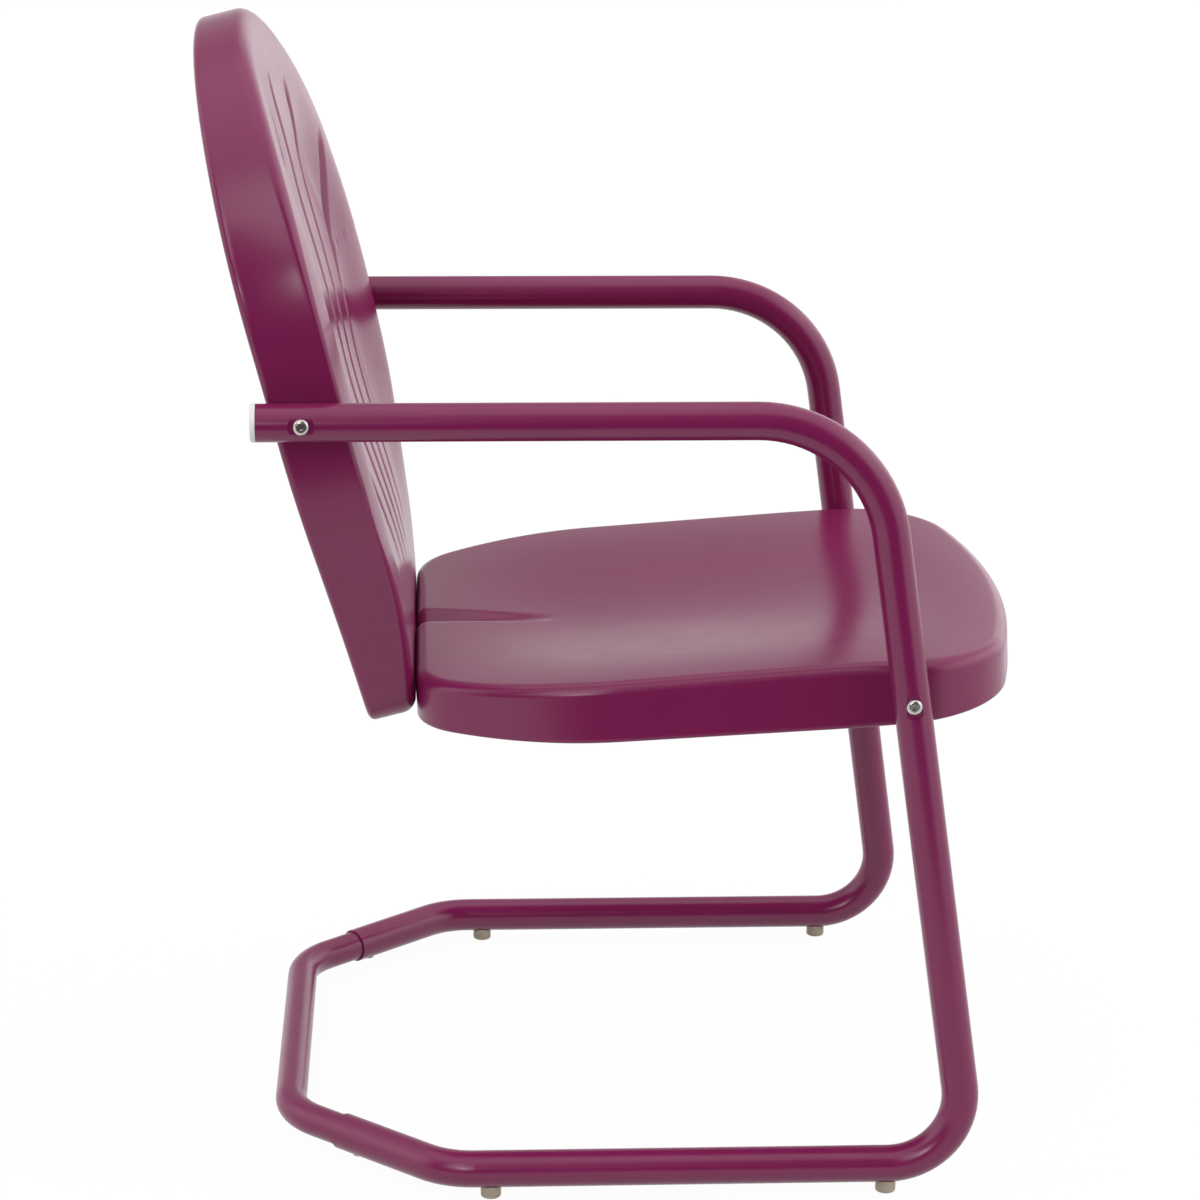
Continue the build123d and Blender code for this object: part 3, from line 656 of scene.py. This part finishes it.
def pressed_sheet(name, outline, place, skin, roll, rim, bulge, bead, lip, size):
    """One pressed sheet: skin, rolled edge, flange, beaded rim with its inward lip, and the inner faces."""
    runs, side = outline
    columns, rows = size
    points = np.concatenate([run[0] for run in runs])
    ways = np.concatenate([run[1] for run in runs])
    points = np.concatenate((points, [[points[-1, 0], 0.0]]))
    ways = np.concatenate((ways, [[1.0, 0.0]]))
    starts = np.cumsum([0] + [len(run[0]) for run in runs])
    low, high = starts[side], starts[side + 1]
    reach = np.stack(roll(*points.T), axis=1)
    drawn = points - ways * (reach[:, :1] + reach[:, 2:])

    number = np.arange(len(points))
    turn = np.sin(np.linspace(0.0, QUARTER, columns + 1))
    rear = np.interp(turn * drawn[low, 1], drawn[:low + 1, 1], number[:low + 1])
    front = np.interp(turn * drawn[high, 1], drawn[high:, 1][::-1], number[high:][::-1])
    sides = np.linspace(low, high, rows + 1)
    grid = flat_grid(drawn, rear, front, sides)

    where, hand = border_places(rear, front, sides)
    edge, way = rows_at(points, where), rows_at(ways, where)
    edge[:, 1] *= hand
    way[:, 1] *= hand
    way /= np.linalg.norm(way, axis=1)[:, None]
    rings = edge_rings(edge, way, rows_at(reach, where), skin, rim, bulge, bead, lip)

    flat = grid.reshape(-1, 2)
    top = skin(*flat.T)
    blocks = [place(*flat.T, top)]
    blocks += [place(*ring.T, n) for ring, n in rings]
    blocks.append(place(*flat.T, top - SHEET))
    wide, deep = grid.shape[:2]
    faces = sheet_faces(grid_border(wide, deep), wide, deep, len(rings))
    piece = add_piece(name, [tuple(point) for point in np.concatenate(blocks)], faces)
    mesh = piece.data
    shaped = bmesh.new()
    shaped.from_mesh(mesh)
    bmesh.ops.recalc_face_normals(shaped, faces=shaped.faces)
    shaped.to_mesh(mesh)
    shaped.free()
    for polygon in mesh.polygons:
        polygon.use_smooth = True
    mesh.set_sharp_from_angle(angle=SHARP_ANGLE)
    return piece


def make_shells(paint):
    back = pressed_sheet(
        "pressed_back", back_outline(), back_place, back_front, back_roll, back_rim, back_bulge,
        BACK_BEAD, BACK_LIP, BACK_GRID,
    )
    seat = pressed_sheet(
        "pressed_seat", seat_outline(), seat_place, seat_top, seat_roll, seat_rim, seat_bulge,
        SEAT_BEAD, SEAT_LIP, SEAT_GRID,
    )
    for piece, node in ((back, "back_shell"), (seat, "seat_pan")):
        piece.data.materials.append(paint)
        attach(piece, "root")
        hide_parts(node)


# Joint screws, in millimetres
SCREW_SIDES = 48
SCREW_HEAD = 4.5
SCREW_HEAD_HIGH = 0.9
SCREW_EDGE_HIGH = 0.4
SCREW_CHAMFER = 0.6
SCREW_SHAFT = 2.2
SCREW_HUB = 0.6
SCREW_TIP = 0.5
SCREW_SEAT = 2.4


def make_screws(steel):
    """The joint screws with low flat heads that lie against the tube."""
    turn = np.linspace(0.0, 2 * math.pi, SCREW_SIDES, endpoint=False)
    for hand in ("right", "left"):
        node = nodes[hand + "_joint_screw"]
        corners = np.array([node.matrix_world @ Vector(corner) for corner in node.bound_box])
        corners = corners * MILLIMETRES
        low, high = corners.min(axis=0), corners.max(axis=0)
        middle = (low + high) / 2
        seat = low[2] + SCREW_SEAT
        profile = (
            (SCREW_HUB, seat - SCREW_HEAD_HIGH),
            (SCREW_HEAD - SCREW_CHAMFER, seat - SCREW_HEAD_HIGH),
            (SCREW_HEAD, seat - SCREW_EDGE_HIGH),
            (SCREW_HEAD, seat),
            (SCREW_SHAFT, seat),
            (SCREW_SHAFT, high[2] - SCREW_TIP),
            (SCREW_HUB, high[2]),
        )
        points = [
            (middle[0] + r * math.cos(a), middle[1] + r * math.sin(a), z)
            for r, z in profile for a in turn
        ]
        rings = [range(SCREW_SIDES * k, SCREW_SIDES * (k + 1)) for k in range(len(profile))]
        faces = [
            (one[i], one[(i + 1) % SCREW_SIDES], two[(i + 1) % SCREW_SIDES], two[i])
            for one, two in zip(rings, rings[1:]) for i in range(SCREW_SIDES)
        ]
        faces.append(tuple(reversed(rings[0])))
        faces.append(tuple(rings[-1]))
        points = [tuple(point) for point in np.array(points) / MILLIMETRES]
        piece = add_piece(hand + "_flat_screw", points, faces)
        piece.data.materials.append(steel)
        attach(piece, "root")
        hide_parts(hand + "_joint_screw")


# Floor
FLOOR_HALF = 5.0
FLOOR_FRONT = -1.2
FLOOR_REAR = 7.0
FLOOR_GREYS = (0.52, 0.54)
FLOOR_GLOW = 1.045
FLOOR_SHADING = 0.08
FLOOR_ROUGHNESS = 0.9
FLOOR_SPECULAR = 0.1


def make_floor():
    """Plain pale floor that ends in front of the chair; it is seen nearly white, with a faint shadow."""
    corners = (
        (-FLOOR_HALF, FLOOR_FRONT, 0), (FLOOR_HALF, FLOOR_FRONT, 0),
        (FLOOR_HALF, FLOOR_REAR, 0), (-FLOOR_HALF, FLOOR_REAR, 0),
    )
    floor = add_piece("floor", corners, [(0, 1, 2, 3)])
    material, tree, shader = new_material("floor_white")
    cloud = noise(tree, coordinates(tree), scale=3.0)
    dark, light = ((grey, grey, grey) for grey in FLOOR_GREYS)
    link(tree, ramp(tree, cloud, dark, light), shader.inputs["Base Color"])
    shader.inputs["Roughness"].default_value = FLOOR_ROUGHNESS
    shader.inputs["Specular IOR Level"].default_value = FLOOR_SPECULAR
    glow = tree.nodes.new("ShaderNodeEmission")
    glow.inputs["Strength"].default_value = FLOOR_GLOW
    soft = tree.nodes.new("ShaderNodeMixShader")
    soft.inputs["Fac"].default_value = FLOOR_SHADING
    link(tree, glow.outputs["Emission"], soft.inputs[1])
    link(tree, shader.outputs["BSDF"], soft.inputs[2])
    pick = tree.nodes.new("ShaderNodeMixShader")
    path = tree.nodes.new("ShaderNodeLightPath")
    seen = math_node(tree, "MAXIMUM", path.outputs["Is Camera Ray"], path.outputs["Is Glossy Ray"])
    seen = math_node(tree, "MAXIMUM", seen, path.outputs["Is Transmission Ray"])
    link(tree, seen, pick.inputs["Fac"])
    link(tree, shader.outputs["BSDF"], pick.inputs[1])
    link(tree, soft.outputs["Shader"], pick.inputs[2])
    link(tree, pick.outputs["Shader"], tree.nodes["Material Output"].inputs["Surface"])
    floor.data.materials.append(material)


# Light round the chair: levels against plain white, and where each part fades in or out. Azimuths and
# heights are in degrees, azimuths from the open side and to the right; X and Y are parts of a direction.
DARK_SIDE = 0.04
DARK_RIGHT = (32.0, 52.0)
DARK_LEFT = (-24.0, -62.0)
DARK_LEFT_HEIGHT = (-4.0, 4.0)
DARK_LEFT_FADE = (-11.0, 11.0)
DARK_TOP = (46.0, 58.0)
BOARD = 2.6
BOARD_RIGHT = (-10.0, -3.0)
BOARD_LEFT = (-44.0, -32.0)
BOARD_FOOT = (14.0, 28.0)
FAR_WALL = 0.58
FAR_WALL_Y = (0.25, 0.55)
FAR_WALL_X = (0.1, 0.28)
FAR_WALL_FOOT = (5.0, 14.0)
FAR_WALL_TOP = (48.0, 62.0)
OVERHEAD = 1.3
OVERHEAD_FOOT = (50.0, 75.0)
RIGHT_SIDE = 2.1
RIGHT_SIDE_X = (0.5, 0.85)
LEFT_SIDE = 1.7
LEFT_SIDE_X = (-0.85, -0.5)
SIDES_FOOT = (4.0, 28.0)
SIDES_LOW = 0.25
BEYOND = 1.42
BEYOND_X = (0.12, 0.3)
BEYOND_Y = (0.5, 0.72)
BEYOND_TOP = (14.0, 28.0)


def make_world():
    """White studio all round, with the dark open side of the room where the camera stands."""
    world = bpy.data.worlds.new("studio")
    scene.world = world
    world.use_nodes = True
    tree = world.node_tree
    background = tree.nodes["Background"]

    def fade(value, span, start, end):
        return remap(tree, value, *span, start, end, True)

    def turn_fade(angle, span, start, end):
        return fade(angle, [math.radians(degrees) for degrees in span], start, end)

    def product(first, *others):
        for other in others:
            first = math_node(tree, "MULTIPLY", first, other)
        return first

    def lit_by(part, level):
        return remap(tree, part, 0.0, 1.0, 1.0, level)

    split = tree.nodes.new("ShaderNodeSeparateXYZ")
    link(tree, tree.nodes.new("ShaderNodeTexCoord").outputs["Generated"], split.inputs["Vector"])
    x, y, z = (split.outputs[axis] for axis in "XYZ")
    azimuth = math_node(tree, "ARCTAN2", x, product(y, -1.0))
    height = math_node(tree, "ARCSINE", z)

    left_end = turn_fade(height, DARK_LEFT_HEIGHT, *(math.radians(end) for end in DARK_LEFT))
    left = turn_fade(math_node(tree, "SUBTRACT", azimuth, left_end), DARK_LEFT_FADE, 0.0, 1.0)
    right = turn_fade(azimuth, DARK_RIGHT, 1.0, 0.0)
    top = turn_fade(height, DARK_TOP, 1.0, 0.0)
    board = product(
        turn_fade(azimuth, BOARD_RIGHT, 1.0, 0.0),
        turn_fade(azimuth, BOARD_LEFT, 0.0, 1.0),
        turn_fade(height, BOARD_FOOT, 0.0, 1.0),
    )
    dark = product(left, right, top, math_node(tree, "SUBTRACT", 1.0, board))
    wall = product(
        turn_fade(height, FAR_WALL_FOOT, 0.0, 1.0),
        turn_fade(height, FAR_WALL_TOP, 1.0, 0.0),
        fade(y, FAR_WALL_Y, 0.0, 1.0),
        fade(x, FAR_WALL_X, 1.0, 0.0),
    )
    beyond = product(
        fade(x, BEYOND_X, 0.0, 1.0),
        fade(y, BEYOND_Y, 0.0, 1.0),
        turn_fade(height, BEYOND_TOP, 1.0, 0.0),
    )
    overhead = turn_fade(height, OVERHEAD_FOOT, 1.0, OVERHEAD)
    sides = product(fade(x, RIGHT_SIDE_X, 1.0, RIGHT_SIDE), fade(x, LEFT_SIDE_X, LEFT_SIDE, 1.0))
    raised = turn_fade(height, SIDES_FOOT, SIDES_LOW, 1.0)
    sides = math_node(tree, "ADD", product(math_node(tree, "SUBTRACT", sides, 1.0), raised), 1.0)
    level = product(
        lit_by(wall, FAR_WALL),
        overhead,
        sides,
        lit_by(dark, DARK_SIDE),
        lit_by(product(board, top), BOARD),
        lit_by(beyond, BEYOND),
    )
    path = tree.nodes.new("ShaderNodeLightPath")
    shown = math_node(tree, "MAXIMUM", path.outputs["Is Camera Ray"], level)
    link(tree, shown, background.inputs["Strength"])
    background.inputs["Color"].default_value = (1.0, 1.0, 1.0, 1.0)


LAMP_AT = Vector((-0.65, -2.3, 1.02))
LAMP_AIM = Vector((0.0, 0.0, 0.45))
LAMP_SIZE = 0.28
LAMP_POWER = 4.2


def make_lamp():
    """One small soft box beside the camera, aimed at the chair."""
    data = bpy.data.lights.new("soft_box", "AREA")
    data.shape = "SQUARE"
    data.size = LAMP_SIZE
    data.energy = LAMP_POWER
    lamp = bpy.data.objects.new("soft_box", data)
    turned = (LAMP_AIM - LAMP_AT).to_track_quat("-Z", "Y").to_matrix().to_4x4()
    lamp.matrix_world = Matrix.Translation(LAMP_AT) @ turned
    scene.collection.objects.link(lamp)


make_camera()
finishes = dress_nodes()
make_shells(finishes["plum_paint"])
make_screws(finishes["stainless"])
make_floor()
make_world()
make_lamp()
